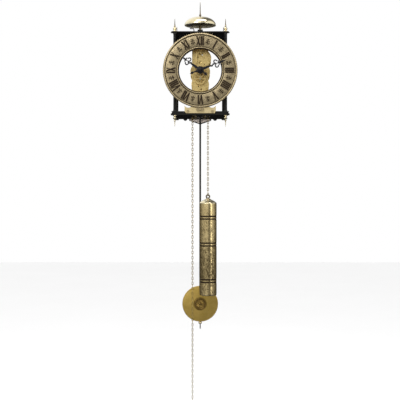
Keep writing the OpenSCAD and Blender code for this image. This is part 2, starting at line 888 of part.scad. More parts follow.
module weight_core() {
  color(steel) at_dial() translate([chain_x, chain_y, 0])
    bar_z(weight_low + 5, weight_top - 12, weight_r - wall_t - 0.1);
}

module weight_hook() {
  color(antique) at_dial() translate([chain_x, chain_y, 0]) {
    bar_z(weight_top - 12, weight_top + 9, 2);
    bar_z(weight_top + 9, weight_top + 10.2, 3.4);
    translate([0, 0, weight_eye_z]) rotate([90, 0, 0])
      rotate_extrude() translate([3.2, 0]) circle(1.25);
  }
}

// ---- pendulum ----

module suspension_spring() {
  color(steel) at_dial() {
    bar_y(swing_y - 4, swing_y + 4, 1.5, 0, anchor_z);
    block([-0.2, swing_y - 2.8, anchor_z - 14], [0.2, swing_y + 2.8, anchor_z - 1]);
    difference() {
      block([-2.6, swing_y - 2.6, rod_top_z - 3], [2.6, swing_y + 2.6, anchor_z - 10]);
      block([-0.2, swing_y - 2.8, anchor_z - 14], [0.2, swing_y + 2.8, anchor_z - 9]);
      bar_z(rod_top_z - 4, rod_top_z, rod_r, 0, swing_y);
    }
  }
}

module pendulum_rod() {
  color(iron) at_dial() {
    bar_z(bob_z + 12, rod_top_z, rod_r, 0, swing_y);
    bar_z(bob_z - bob_r - 14, bob_z - bob_r + 12, 1, 0, swing_y);
  }
}

module pendulum_bob() {
  rise = 2;
  half = 2.5;
  color(gold) at_dial() difference() {
    translate([0, swing_y, bob_z]) rotate([90, 0, 0]) rotate_extrude($fn = 96) polygon(concat(
      [[0, -half - rise]],
      [for (k = [0:5]) let (a = 90 - 12 * k) [(bob_r - 1) * cos(a), -half - rise * sin(a)]],
      [[bob_r - 1, -half], [bob_r, -half + 1], [bob_r, half - 1], [bob_r - 1, half]],
      [for (k = [5:-1:0]) let (a = 90 - 12 * k) [(bob_r - 1) * cos(a), half + rise * sin(a)]]
    ));
    bar_z(bob_z + 12, bob_z + bob_r + 2, rod_r + 0.02, 0, swing_y);
    bar_z(bob_z - bob_r - 2, bob_z - bob_r + 12, 1.02, 0, swing_y);
  }
}

module bob_medallion() {
  y = swing_y - 4.5;
  color(gold) at_dial() translate([0, y, bob_z]) rotate([90, 0, 0]) turned([
    [0, 0], [12.6, 0], [12.6, 0.5], [11.8, 1.2], [10.8, 1.2], [10, 0.5], [5, 0.5],
    [4, 1.2], [2, 1.6], [0, 1.7]
  ]);
}

module rating_nut() {
  z = bob_z - bob_r;
  color(pale_brass) at_dial() translate([0, swing_y, z - 4.4]) difference() {
    turned([[0, 0], [1.8, 0], [3.6, 1], [3.6, 3.2], [1.8, 4.2], [0, 4.2]]);
    bar_z(-1, 6, 1);
  }
}

top_plate();
bottom_plate();
post_front_left();
post_front_right();
post_rear_left();
post_rear_right();
top_finials();
bottom_finials();
rear_post_nuts();
hanger_bracket();
frame_screws();
wall_spacers();
rear_apron();
apron_ornament();
chapter_ring();
numerals();
dial_bracket();
dial_screws();
dial_top_tab();
bell();
bell_post();
bell_finial();
movement_front_plate();
movement_back_plate();
movement_pillars();
pillar_nuts();
motion_stud();
back_cock();
minute_hand();
hand_nut();
cannon_pinion();
hour_hand();
hour_wheel();
minute_wheel();
centre_wheel();
great_wheel();
click();
click_spring();
sprocket();
ratchet_wheel();
intermediate_wheel();
third_wheel();
escape_wheel();
pallet_anchor();
crutch();
hammer();
strike_lever();
suspension_spring();
pendulum_rod();
pendulum_bob();
bob_medallion();
rating_nut();
weight_tube();
weight_caps();
weight_core();
weight_hook();
chain_wrap();
weight_chain();
free_chain();
chain_end_ring();
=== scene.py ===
import json
import math

import bmesh
import bpy
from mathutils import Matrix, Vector


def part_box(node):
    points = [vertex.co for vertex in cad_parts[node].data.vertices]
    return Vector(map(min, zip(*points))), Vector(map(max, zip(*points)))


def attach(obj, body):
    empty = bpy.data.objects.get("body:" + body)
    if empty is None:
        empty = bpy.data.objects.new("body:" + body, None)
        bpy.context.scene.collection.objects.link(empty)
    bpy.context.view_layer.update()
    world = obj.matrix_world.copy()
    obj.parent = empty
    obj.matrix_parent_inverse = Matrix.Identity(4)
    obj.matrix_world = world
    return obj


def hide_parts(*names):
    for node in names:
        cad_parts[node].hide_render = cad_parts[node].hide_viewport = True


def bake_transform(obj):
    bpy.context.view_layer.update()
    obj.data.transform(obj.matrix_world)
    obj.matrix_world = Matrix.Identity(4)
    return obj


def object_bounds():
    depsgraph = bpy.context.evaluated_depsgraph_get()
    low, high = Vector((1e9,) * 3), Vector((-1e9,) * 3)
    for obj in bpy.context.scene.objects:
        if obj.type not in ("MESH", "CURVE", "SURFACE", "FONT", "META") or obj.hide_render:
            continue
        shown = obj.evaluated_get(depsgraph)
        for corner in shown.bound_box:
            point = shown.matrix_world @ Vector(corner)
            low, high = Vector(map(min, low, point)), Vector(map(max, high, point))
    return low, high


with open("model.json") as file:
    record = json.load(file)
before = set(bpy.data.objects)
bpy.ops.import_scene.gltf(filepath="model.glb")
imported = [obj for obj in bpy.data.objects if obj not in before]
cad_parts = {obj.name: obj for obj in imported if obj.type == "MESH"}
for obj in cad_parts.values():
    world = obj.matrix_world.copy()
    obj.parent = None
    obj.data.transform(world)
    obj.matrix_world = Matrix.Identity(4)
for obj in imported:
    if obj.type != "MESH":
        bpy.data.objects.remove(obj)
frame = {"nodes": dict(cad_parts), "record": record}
cad_low, cad_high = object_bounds()
MM = 0.001


def centre(node):
    low, high = (Vector(v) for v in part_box(node))
    return (low + high) / 2


def low(node):
    return Vector(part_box(node)[0])


def high(node):
    return Vector(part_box(node)[1])


# ---- places and sizes that several pieces share, in metres ----

RING_R = (high("chapter_ring").x - low("chapter_ring").x) / 2
RING_FRONT = low("chapter_ring").y
RING_BACK = RING_FRONT + 4 * MM
DIAL = Vector((0.0, RING_FRONT, high("chapter_ring").z - RING_R))
SPROCKET = centre("sprocket")
CHAIN_X = centre("weight_chain").x
CHAIN_Y = centre("weight_chain").y
WEIGHT = centre("weight_tube")
BOB = centre("pendulum_bob")
BOB_R = (high("pendulum_bob").x - low("pendulum_bob").x) / 2

# ---- camera ----

VIEW_DISTANCE = 1.8  # from the camera to the front of the dial
VIEW_HEIGHT = 0.7508  # height of the frame at the dial
CAMERA_DROP = 0.2438  # camera below the centre of the dial
CAMERA_X = -0.4 * MM


def make_camera():
    data = bpy.data.cameras.new("camera")
    data.sensor_width = 36.0
    data.lens = data.sensor_width * VIEW_DISTANCE / VIEW_HEIGHT
    data.clip_end = 50.0
    camera = bpy.data.objects.new("camera", data)
    camera.location = (CAMERA_X, DIAL.y - VIEW_DISTANCE, DIAL.z - CAMERA_DROP)
    camera.rotation_euler = (math.pi / 2, 0, 0)
    bpy.context.scene.collection.objects.link(camera)
    bpy.context.scene.camera = camera


make_camera()

# ---- node materials ----


def set_stops(ramp, stops):
    """Fills a colour ramp with (position, grey) pairs."""
    elements = ramp.color_ramp.elements
    elements[0].position, elements[1].position = stops[0][0], stops[-1][0]
    for position, _ in stops[1:-1]:
        elements.new(position)
    for element, (_, value) in zip(elements, stops):
        element.color = (value, value, value, 1)


class Graph:
    """A material's node tree, with short calls for the nodes that every metal here uses."""

    def __init__(self, name):
        self.material = bpy.data.materials.new(name)
        self.material.use_nodes = True
        self.tree = self.material.node_tree
        self.shader = self.tree.nodes["Principled BSDF"]
        self.place = self.node("ShaderNodeTexCoord").outputs["Object"]

    def node(self, kind, **values):
        made = self.tree.nodes.new(kind)
        for key, value in values.items():
            setattr(made, key, value)
        return made

    def link(self, source, target):
        self.tree.links.new(source, target)

    def noise(self, scale, detail=6.0, rough=0.6, stretch=None):
        made = self.node("ShaderNodeTexNoise")
        made.inputs["Scale"].default_value = scale
        made.inputs["Detail"].default_value = detail
        made.inputs["Roughness"].default_value = rough
        place = self.place
        if stretch:
            mapping = self.node("ShaderNodeMapping")
            mapping.inputs["Scale"].default_value = stretch
            self.link(place, mapping.inputs["Vector"])
            place = mapping.outputs["Vector"]
        self.link(place, made.inputs["Vector"])
        return made.outputs["Fac"]

    def cells(self, scale):
        made = self.node("ShaderNodeTexVoronoi")
        made.inputs["Scale"].default_value = scale
        self.link(self.place, made.inputs["Vector"])
        return made.outputs["Distance"]

    def ramp(self, source, low_in, high_in, low_out, high_out):
        made = self.node("ShaderNodeMapRange")
        made.inputs["From Min"].default_value = low_in
        made.inputs["From Max"].default_value = high_in
        made.inputs["To Min"].default_value = low_out
        made.inputs["To Max"].default_value = high_out
        self.link(source, made.inputs["Value"])
        return made.outputs["Result"]

    def maths(self, kind, a, b):
        made = self.node("ShaderNodeMath", operation=kind)
        for k, value in enumerate((a, b)):
            if isinstance(value, (int, float)):
                made.inputs[k].default_value = value
            else:
                self.link(value, made.inputs[k])
        return made.outputs[0]

    def mix(self, factor, a, b):
        made = self.node("ShaderNodeMix", data_type="RGBA")
        self.link(factor, made.inputs["Factor"])
        for socket, value in (("A", a), ("B", b)):
            target = [i for i in made.inputs if i.name == socket and i.type == "RGBA"][0]
            if isinstance(value, (tuple, list)):
                target.default_value = (*value, 1)
            else:
                self.link(value, target)
        return [o for o in made.outputs if o.type == "RGBA"][0]

    def height(self):
        """Height above the hanging hole, in metres."""
        parts = self.node("ShaderNodeSeparateXYZ")
        self.link(self.place, parts.inputs[0])
        return parts.outputs["Z"]

    # Ambient occlusion. The metals below mix it into their colour as painted shade in hollows and between
    # parts.
    def crevices(self, distance):
        made = self.node("ShaderNodeAmbientOcclusion", samples=8)
        made.inputs["Distance"].default_value = distance
        return made.outputs["AO"]

    def edges(self, low_in, high_in):
        geometry = self.node("ShaderNodeNewGeometry")
        return self.ramp(geometry.outputs["Pointiness"], low_in, high_in, 0, 1)

    def bump(self, height, strength, distance):
        made = self.node("ShaderNodeBump")
        made.inputs["Strength"].default_value = strength
        made.inputs["Distance"].default_value = distance
        self.link(height, made.inputs["Height"])
        self.link(made.outputs["Normal"], self.shader.inputs["Normal"])

    def finish(self, colour, rough, metallic=1.0, coat=0.0, coat_rough=0.1, specular=0.5):
        self.link(colour, self.shader.inputs["Base Color"])
        self.link(rough, self.shader.inputs["Roughness"])
        self.shader.inputs["Metallic"].default_value = metallic
        self.shader.inputs["Coat Weight"].default_value = coat
        self.shader.inputs["Coat Roughness"].default_value = coat_rough
        self.shader.inputs["Specular IOR Level"].default_value = specular
        return self.material


def polished_brass(name="polished_brass", light=(0.96, 0.87, 0.62), dark=(0.86, 0.73, 0.43)):
    g = Graph(name)
    cloud = g.noise(60, 4)
    colour = g.mix(g.ramp(cloud, 0.35, 0.7, 0, 1), light, dark)
    stain = g.ramp(g.noise(900, 3), 0.62, 0.75, 0, 0.35)
    colour = g.mix(stain, colour, (0.42, 0.30, 0.12))
    rough = g.ramp(g.noise(350, 5), 0.3, 0.7, 0.10, 0.24)
    # Painted shade: darker in hollows and between parts, from ambient occlusion.
    colour = g.mix(g.ramp(g.crevices(2 * MM), 0.3, 0.9, 0.7, 0), colour, (0.22, 0.15, 0.05))
    g.bump(g.noise(500, 3), 0.08, 0.0004)
    return g.finish(colour, rough, coat=0.15, coat_rough=0.08)


def chain_brass():
    g = Graph("chain_brass")
    colour = g.mix(g.noise(300, 5), (0.66, 0.50, 0.20), (0.42, 0.30, 0.10))
    # Painted shade where the links meet, from ambient occlusion.
    colour = g.mix(g.ramp(g.crevices(0.8 * MM), 0.2, 0.8, 0.8, 0), colour, (0.16, 0.10, 0.03))
    rough = g.ramp(g.noise(600), 0.3, 0.7, 0.18, 0.36)
    g.bump(g.noise(1500, 3), 0.15, 0.0003)
    return g.finish(colour, rough)


def bell_brass():
    """Polished outside; inside, paler at the rim and darker further up: painted light at the rim and painted
    shade up the hollow.
    """
    g = Graph("bell_brass")
    rim = low("bell").z
    facing = g.node("ShaderNodeSeparateXYZ")
    g.link(g.node("ShaderNodeTexCoord").outputs["Normal"], facing.inputs[0])
    outside = g.ramp(facing.outputs["Z"], -0.12, 0.0, 0, 1)
    # Inside the bell: painted light at the rim, painted shade further up the hollow.
    depth = g.ramp(g.height(), rim, rim + 8 * MM, 0, 1)
    darker_higher_up = g.mix(g.noise(180, 5), (0.05, 0.04, 0.02), (0.10, 0.08, 0.045))
    hollow = g.mix(depth, (0.80, 0.74, 0.54), darker_higher_up)
    polished = g.mix(g.ramp(g.noise(60, 4), 0.35, 0.7, 0, 1), (0.96, 0.87, 0.62), (0.86, 0.73, 0.43))
    stain = g.ramp(g.noise(900, 3), 0.62, 0.75, 0, 0.35)
    polished = g.mix(stain, polished, (0.42, 0.30, 0.12))
    rough = g.ramp(outside, 0, 1, 0.38, 0.15)
    g.bump(g.noise(500, 3), 0.08, 0.0004)
    material = g.finish(g.mix(outside, hollow, polished), rough)
    g.link(g.ramp(outside, 0, 1, 0.3, 1), g.shader.inputs["Metallic"])
    return material


def antique_brass(name="antique_brass", grain=1500.0, light=(0.42, 0.34, 0.20), dark=(0.045, 0.028, 0.012)):
    g = Graph(name)
    body = g.mix(g.ramp(g.noise(140, 7, 0.7), 0.35, 0.65, 0, 1), light, tuple(c * 0.55 for c in light))
    speck = g.ramp(g.cells(grain), 0.15, 0.6, 0.8, 0)
    # Dark pits from the cells are the metal's own; the ambient occlusion mask is painted shade in hollows.
    hollow_shade = g.ramp(g.crevices(3 * MM), 0.4, 0.97, 1, 0)
    colour = g.mix(g.maths("MAXIMUM", speck, hollow_shade), body, dark)
    # Painted highlight: sharp edges lighter.
    colour = g.mix(g.edges(0.52, 0.60), colour, tuple(min(1, c * 1.8) for c in light))
    rough = g.ramp(g.noise(700, 5), 0.3, 0.7, 0.30, 0.52)
    g.bump(g.maths("MULTIPLY", g.cells(grain), g.noise(400, 4)), 0.45, 0.0006)
    return g.finish(colour, rough, metallic=0.9)


def spike_brass():
    """Bright at the bulb, darker along the spike."""
    g = Graph("spike_brass")
    seat = high("top_plate").z
    darker_higher_up = g.ramp(g.height(), seat + 8 * MM, seat + 13 * MM, 0, 1)
    colour = g.mix(g.noise(120, 4), (0.96, 0.85, 0.58), (0.80, 0.66, 0.38))
    colour = g.mix(darker_higher_up, colour, (0.09, 0.065, 0.03))
    rough = g.ramp(g.noise(350, 5), 0.3, 0.7, 0.14, 0.30)
    g.bump(g.noise(700, 3), 0.1, 0.0004)
    return g.finish(colour, rough)


def yellow_brass():
    g = Graph("yellow_brass")
    brushed = g.noise(260, 5, stretch=(1, 1, 14))
    colour = g.mix(g.ramp(brushed, 0.3, 0.7, 0, 1), (0.82, 0.63, 0.27), (0.58, 0.43, 0.17))
    stain = g.ramp(g.noise(170, 6), 0.47, 0.72, 0, 0.7)
    colour = g.mix(stain, colour, (0.34, 0.22, 0.06))
    # Painted shade in hollows and between parts, from ambient occlusion.
    colour = g.mix(g.ramp(g.crevices(3 * MM), 0.3, 0.9, 0.7, 0), colour, (0.16, 0.10, 0.03))
    rough = g.ramp(brushed, 0.3, 0.7, 0.24, 0.42)
    g.bump(brushed, 0.15, 0.0004)
    return g.finish(colour, rough, metallic=0.95)


def satin_gold():
    g = Graph("satin_gold")
    colour = g.mix(g.ramp(g.noise(45, 6), 0.3, 0.7, 0, 1), (0.58, 0.40, 0.10), (0.40, 0.27, 0.055))
    speck = g.ramp(g.noise(1200, 3), 0.5, 0.7, 0, 0.7)
    colour = g.mix(speck, colour, (0.72, 0.54, 0.20))
    # Painted shade in hollows and between parts, from ambient occlusion.
    colour = g.mix(g.ramp(g.crevices(2 * MM), 0.4, 0.95, 0.7, 0), colour, (0.14, 0.09, 0.02))
    rough = g.ramp(g.noise(900, 4), 0.3, 0.7, 0.34, 0.52)
    g.bump(g.noise(2200, 2), 0.2, 0.0003)
    return g.finish(colour, rough, metallic=0.9)


def black_iron(name, tint, rough_low, rough_high, specular):
    g = Graph(name)
    worn = g.edges(0.54, 0.62)
    colour = g.mix(g.noise(140, 6), tint, tuple(c * 2.2 for c in tint))
    colour = g.mix(g.maths("MULTIPLY", worn, 0.12), colour, (0.20, 0.19, 0.16))
    rough = g.ramp(g.noise(500, 5), 0.3, 0.7, rough_low, rough_high)
    g.bump(g.noise(900, 4), 0.12, 0.0005)
    return g.finish(colour, rough, metallic=0.0, specular=specular)


def ground_steel(name="steel", light=(0.55, 0.55, 0.54), dark=(0.34, 0.33, 0.32)):
    g = Graph(name)
    brushed = g.noise(400, 4, stretch=(1, 1, 10))
    colour = g.mix(g.ramp(brushed, 0.3, 0.7, 0, 1), light, dark)
    rough = g.ramp(brushed, 0.3, 0.7, 0.22, 0.4)
    g.bump(brushed, 0.1, 0.0003)
    return g.finish(colour, rough)


def antique_silver():
    g = Graph("antique_silver")
    colour = g.mix(g.noise(260, 6), (0.90, 0.80, 0.72), (0.62, 0.53, 0.46))
    # Painted shade in the relief's hollows, from ambient occlusion.
    hollow_shade = g.ramp(g.crevices(1.6 * MM), 0.30, 0.85, 0.8, 0)
    colour = g.mix(hollow_shade, colour, (0.12, 0.085, 0.06))
    rough = g.ramp(g.noise(700, 5), 0.3, 0.7, 0.3, 0.5)
    g.bump(g.noise(1400, 4), 0.2, 0.0004)
    return g.finish(colour, rough, metallic=0.25)


def dark_wax():
    g = Graph("dark_wax")
    colour = g.mix(g.noise(600, 5), (0.008, 0.004, 0.0015), (0.028, 0.016, 0.007))
    rough = g.ramp(g.noise(900, 4), 0.3, 0.7, 0.5, 0.7)
    g.bump(g.noise(1800, 3), 0.2, 0.0003)
    return g.finish(colour, rough, metallic=0.0, specular=0.12)


def weight_brass():
    """Etched tube: bright ground, brown granular figure that thickens downwards, upright streaks."""
    g = Graph("etched_brass")
    ground = g.mix(g.noise(90, 5), (0.74, 0.59, 0.30), (0.46, 0.35, 0.16))
    shade = g.node("ShaderNodeValToRGB")
    up_the_tube = g.ramp(g.height(), low("weight_tube").z, high("weight_tube").z, 0, 1)
    g.link(up_the_tube, shade.inputs["Fac"])
    set_stops(shade, [
        (0.0, 0.47), (0.14, 0.47), (0.19, 0.52), (0.5, 0.49),
        (0.56, 0.46), (0.8, 0.445), (0.88, 0.435), (1.0, 0.40),
    ])
    streaks = g.noise(420, 6, 0.75, stretch=(1, 1, 0.35))
    grain = g.maths("MAXIMUM", g.noise(420, 8, 0.8), streaks)
    etched = g.ramp(g.maths("ADD", grain, shade.outputs["Color"]), 0.96, 1.06, 0, 1)
    figure = g.maths("MULTIPLY", etched, 0.95)
    colour = g.mix(figure, ground, (0.075, 0.052, 0.020))
    # Painted shade in hollows such as the grooves, from ambient occlusion.
    colour = g.mix(g.ramp(g.crevices(1.5 * MM), 0.3, 0.9, 0.95, 0), colour, (0.05, 0.02, 0.01))
    rough = g.ramp(figure, 0, 1, 0.2, 0.5)
    g.bump(grain, 0.15, 0.0004)
    return g.finish(colour, rough, metallic=0.9)


MATERIALS = {
    "black_frame": black_iron("black_iron", (0.003, 0.003, 0.0025), 0.3, 0.46, 0.17),
    "polished_brass": polished_brass(),
    "antique_silver": antique_silver(),
    "antique_brass": antique_brass(),
    "dark_enamel": dark_wax(),
    "yellow_brass": yellow_brass(),
    "steel": ground_steel(),
    "black_hands": black_iron("blackened_steel", (0.003, 0.0025, 0.004), 0.4, 0.55, 0.2),
    "satin_gold": satin_gold(),
    "cast_iron_core": ground_steel("cast_core", (0.2, 0.2, 0.2), (0.12, 0.12, 0.12)),
}
DARK_FITTINGS = antique_brass("dark_fittings", 1200.0, (0.20, 0.16, 0.09), (0.04, 0.025, 0.012))
MEDALLION = antique_brass("medallion_gold", 900.0, (0.24, 0.155, 0.04), (0.04, 0.022, 0.006))
ROD_BLACK = black_iron("rod_black", (0.002, 0.002, 0.002), 0.45, 0.6, 0.08)
BRACKET = polished_brass("bracket_brass", (0.80, 0.66, 0.38), (0.62, 0.49, 0.24))
SPIKES = spike_brass()
BELL = bell_brass()
CHAIN = chain_brass()
ETCHED = weight_brass()

# ---- mesh helpers ----


class Shape:
    """Vertices and faces being gathered into one piece."""

    def __init__(self):
        self.points = []
        self.faces = []

    def add(self, points, faces):
        start = len(self.points)
        self.points += [Vector(p) for p in points]
        self.faces += [tuple(i + start for i in f) for f in faces]

    def rings(self, rings, closed_along=False):
        """Joins equal rings of points into a closed skin, capped unless the last ring meets the first."""
        n, m = len(rings), len(rings[0])
        faces = []
        for i in range(n if closed_along else n - 1):
            for j in range(m):
                a, b = i * m + j, i * m + (j + 1) % m
                c, d = (i + 1) % n * m + (j + 1) % m, (i + 1) % n * m + j
                faces.append((a, b, c, d))
        if not closed_along:
            faces.append(tuple(reversed(range(m))))
            faces.append(tuple((n - 1) * m + j for j in range(m)))
        self.add([p for ring in rings for p in ring], faces)

    def piece(self, name, body, slot, material=None, sharp=40, replaces=()):
        mesh = bpy.data.meshes.new(name)
        mesh.from_pydata(self.points, [], self.faces)
        work = bmesh.new()
        work.from_mesh(mesh)
        bmesh.ops.remove_doubles(work, verts=work.verts, dist=1e-7)
        bmesh.ops.recalc_face_normals(work, faces=work.faces)
        work.to_mesh(mesh)
        work.free()
        mesh.shade_smooth()
        mesh.set_sharp_from_angle(angle=math.radians(sharp))
        mesh.materials.append(material or MATERIALS[slot])
        made = bpy.data.objects.new(name, mesh)
        bpy.context.scene.collection.objects.link(made)
        if body:
            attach(made, body)
        if replaces:
            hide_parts(*replaces)
        return made


def smooth(points, steps=5):
    """Catmull-Rom curve through the points, which may be numbers of any dimension."""
    out = []
    last = len(points) - 1
    for i in range(last):
        a, b = points[max(i - 1, 0)], points[i]
        c, d = points[i + 1], points[min(i + 2, last)]
        for k in range(steps):
            t = k / steps
            out.append(tuple(
                0.5 * (2 * q + (r - p) * t + (2 * p - 5 * q + 4 * r - s) * t * t
                       + (3 * q - p - 3 * r + s) * t ** 3)
                for p, q, r, s in zip(a, b, c, d)
            ))
    out.append(tuple(points[last]))
    return out


AXIS_R = 1e-4  # radius that stands for a point on the axis, in millimetres


def lathe(shape, profile, at, axis="Z", segments=96, wobble=None, closed_along=False):
    """Turns (radius, height) pairs in millimetres about an axis; along Y, height points at the viewer."""
    rings = []
    for r, h in profile:
        ring = []
        for k in range(segments):
            a = 2 * math.pi * k / segments
            radius = max(r, AXIS_R) * (wobble(a) if wobble else 1)
            x, y = radius * math.cos(a) * MM, radius * math.sin(a) * MM
            local = (x, y, h * MM) if axis == "Z" else (x, -h * MM, y)
            ring.append(Vector(at) + Vector(local))
        rings.append(ring)
    shape.rings(rings, closed_along)


def closed_lathe(shape, profile, at, axis="Z", segments=96):
    """As lathe, for a profile that closes on itself, such as a ring's section."""
    lathe(shape, profile, at, axis, segments, closed_along=True)


def ribbon(shape, path, widths, half, place, sides=8):
    """Sweeps a rounded strip along a path in millimetres; place turns (u, v, height) into the frame."""
    rings = []
    last = len(path) - 1
    for i, (u, v) in enumerate(path):
        du = path[min(i + 1, last)][0] - path[max(i - 1, 0)][0]
        dv = path[min(i + 1, last)][1] - path[max(i - 1, 0)][1]
        size = math.hypot(du, dv) or 1
        side = (dv / size, -du / size)
        t = i / last * (len(widths) - 1)
        k = min(int(t), len(widths) - 2)
        w = widths[k] + (widths[k + 1] - widths[k]) * (t - k)
        ring = []
        for j in range(sides):
            a = 2 * math.pi * (j + 0.5) / sides
            across, up = w * math.cos(a), half * math.sin(a)
            ring.append(place(u + side[0] * across, v + side[1] * across, up))
        rings.append(ring)
    shape.rings(rings)


def curl(u, v, r0, r1, a0, a1, steps=18):
    """Spiral about (u, v) from radius r0 at a0 degrees to r1 at a1."""
    out = []
    for k in range(steps + 1):
        t = k / steps
        r, a = r0 + (r1 - r0) * t, math.radians(a0 + (a1 - a0) * t)
        out.append((u + r * math.cos(a), v + r * math.sin(a)))
    return out


def upright_at(x, y, z, turn=0.0):
    """Turns (u, v, height) in millimetres into a place on an upright face; height points at the viewer."""
    c, s = math.cos(math.radians(turn)), math.sin(math.radians(turn))

    def place(u, v, h):
        return Vector((x + (u * c - v * s) * MM, y - h * MM, z + (u * s + v * c) * MM))

    return place


# ---- chain ----

LINK_PITCH = 5.0  # millimetres, as the two below
LINK_WIRE = 0.5  # radius of the wire
LINK_WIDTH = 3.7


def add_link(shape, middle, along, across, pitch):
    """One oval link of round wire."""
    normal = along.cross(across)
    bend = LINK_WIDTH / 2 - LINK_WIRE
    half = pitch / 2 + LINK_WIRE - bend
    rings = []
    steps, sides = 16, 6
    for k in range(steps):
        a = 2 * math.pi * (k + 0.5) / steps
        u = bend * math.cos(a)
        v = bend * math.sin(a) + math.copysign(half, math.sin(a))
        out = along * math.sin(a) + across * math.cos(a)
        spot = middle + (across * u + along * v) * MM
        rings.append([
            spot + (out * math.cos(b) + normal * math.sin(b)) * LINK_WIRE * MM
            for b in (2 * math.pi * j / sides for j in range(sides))
        ])
    shape.rings(rings, closed_along=True)


def chain(shape, route, length):
    """Links along route(distance), which gives a point and a direction."""
    count = round(length / MM / LINK_PITCH)
    pitch = length / MM / count
    for k in range(count):
        spot, along = route((k + 0.5) * length / count)
        across = Vector((0, 1, 0)) if k % 2 else Vector((0, 1, 0)).cross(along)
        add_link(shape, spot, along, across, pitch)


def add_chains():
    top = SPROCKET.z
    lap = 3.2 * MM  # how far an end link reaches into the eye or ring below it
    arc = math.pi * CHAIN_X

    def over(s):
        if s < arc:
            a = s / CHAIN_X
            spot = Vector((CHAIN_X * math.cos(a), CHAIN_Y, top + CHAIN_X * math.sin(a)))
            return spot, Vector((-math.sin(a), 0, math.cos(a)))
        return Vector((-CHAIN_X, CHAIN_Y, top - (s - arc))), Vector((0, 0, -1))

    def down(s):
        return Vector((CHAIN_X, CHAIN_Y, top - s)), Vector((0, 0, -1))

    free_length = arc + top - low("free_chain").z + lap
    shape = Shape()
    chain(shape, over, free_length)
    free = shape.piece(
        "free_chain_links", None, "polished_brass", CHAIN, replaces=("chain_wrap", "free_chain")
    )
    low("free_chain").z
    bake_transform(free)

    weight_length = top - low("weight_chain").z + lap
    shape = Shape()
    chain(shape, down, weight_length)
    hung = shape.piece("weight_chain_links", None, "polished_brass", CHAIN, replaces=("weight_chain",))
    low("weight_chain").z
    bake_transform(hung)


add_chains()

# ---- dial ----


def add_chapter_ring():
    """Cast ring with two raised rims, its lug, a dark inner bevel that is painted shade, and a rope edge."""
    r = RING_R / MM
    inner = 39.8  # radius of the opening
    face = Shape()
    edge = [
        (inner, 0), (r - 1.2, 0), (r - 0.5, 0.5), (r - 0.5, 2.6), (r - 1.0, 3.3),
        (r - 1.9, 3.9), (r - 2.9, 3.9), (r - 3.5, 3.3), (r - 3.8, 2.1), (r - 4.4, 1.9),
        (r - 4.9, 2.6), (r - 5.6, 2.85), (inner + 6.0, 2.85), (inner + 5.2, 2.6),
        (inner + 4.8, 1.9), (inner + 4.2, 2.1), (inner + 3.8, 3.7), (inner + 3.3, 4.0),
        (inner + 2.7, 4.0), (inner + 2.2, 3.5), (inner + 1.9, 2.8), (inner + 0.3, 1.2), (inner, 0.9),
    ]
    closed_lathe(face, edge, (DIAL.x, RING_BACK, DIAL.z), "Y", 256)
    face.piece("chapter_ring_cast", "frame", "antique_brass", sharp=50, replaces=("chapter_ring",))

    lug = Shape()
    place = upright_at(DIAL.x, RING_BACK, DIAL.z)
    outline = [(-7.5, -68.5), (-7.5, -74.6), (-6.2, -76.2), (6.2, -76.2), (7.5, -74.6), (7.5, -68.5)]
    lug.rings([
        [place(u * narrowing, v, h) for u, v in outline]
        for narrowing, h in ((1.0, 0.05), (0.98, 1.7), (0.96, 2.0))
    ])
    lug.piece("chapter_ring_lug", "frame", "antique_brass", DARK_FITTINGS, sharp=30)

    # The inner bevel's dark material is painted shade on the bevel.
    bevel = Shape()
    section = [(inner - 0.02, 0.6), (inner - 0.02, 0.95), (inner + 0.25, 1.28), (inner + 1.86, 3.0),
               (inner + 2.1, 3.0), (inner + 2.1, 0.6)]
    closed_lathe(bevel, section, (DIAL.x, RING_BACK, DIAL.z), "Y", 192)
    bevel.piece("chapter_ring_inner_bevel", "frame", "antique_brass", MATERIALS["dark_enamel"], sharp=30)

    rope = Shape()
    lays = 110  # strands seen round the edge
    steps, sides = lays * 6, 8
    rings = []
    for k in range(steps):
        a = 2 * math.pi * k / steps
        ring = []
        for j in range(sides):
            b = 2 * math.pi * j / sides
            swell = 0.95 + 0.28 * math.cos(a * lays + b)
            radius = r - 1.15 + swell * math.cos(b) * 0.95
            ring.append(Vector((
                DIAL.x + radius * math.cos(a) * MM,
                RING_BACK - (2.0 + 1.1 * swell * math.sin(b)) * MM,
                DIAL.z + radius * math.sin(a) * MM,
            )))
        rings.append(ring)
    rope.rings(rings, closed_along=True)
    rope.piece("chapter_ring_rope_edge", "frame", "antique_brass", sharp=60)


def add_ornaments():
    """Twelve crosses with curled arms between the numerals."""
    shape = Shape()
    radius = 55.3 * MM
    stem = [(0, -5.6), (0, -3), (0, 0), (0, 3), (0, 5.2)]
    arms = [(-3.3, 1.2), (-1.6, 1.5), (0, 1.2), (1.6, 1.5), (3.3, 1.2)]
    for hour in range(12):
        turn = -30 * hour - 15
        a = math.radians(90 + turn)
        x, z = DIAL.x + radius * math.cos(a), DIAL.z + radius * math.sin(a)
        place = upright_at(x, RING_BACK - 3.0 * MM, z, turn)
        ribbon(shape, stem, [0.35, 0.9, 0.6, 0.8, 0.9], 0.45, place)
        ribbon(shape, arms, [0.8, 0.5, 0.8, 0.5, 0.8], 0.42, place)
        for s in (-1, 1):
            path = [(s * u, w) for u, w in curl(2.4, -2.6, 1.2, 0.6, 150, -120, 10)]
            ribbon(shape, path, [0.5, 0.6, 0.8], 0.4, place, sides=6)
            ribbon(shape, [(s * 1.2, 4.2), (s * 2.3, 4.7)], [0.5, 0.6], 0.4, place, sides=6)
    shape.piece("chapter_ring_ornaments", "frame", "dark_enamel")


add_chapter_ring()
add_ornaments()


def leaf(shape, place, v0, v1, widths, half=0.55):
    path = [(0, v0 + (v1 - v0) * k / 12) for k in range(13)]
    ribbon(shape, path, widths, half, place)


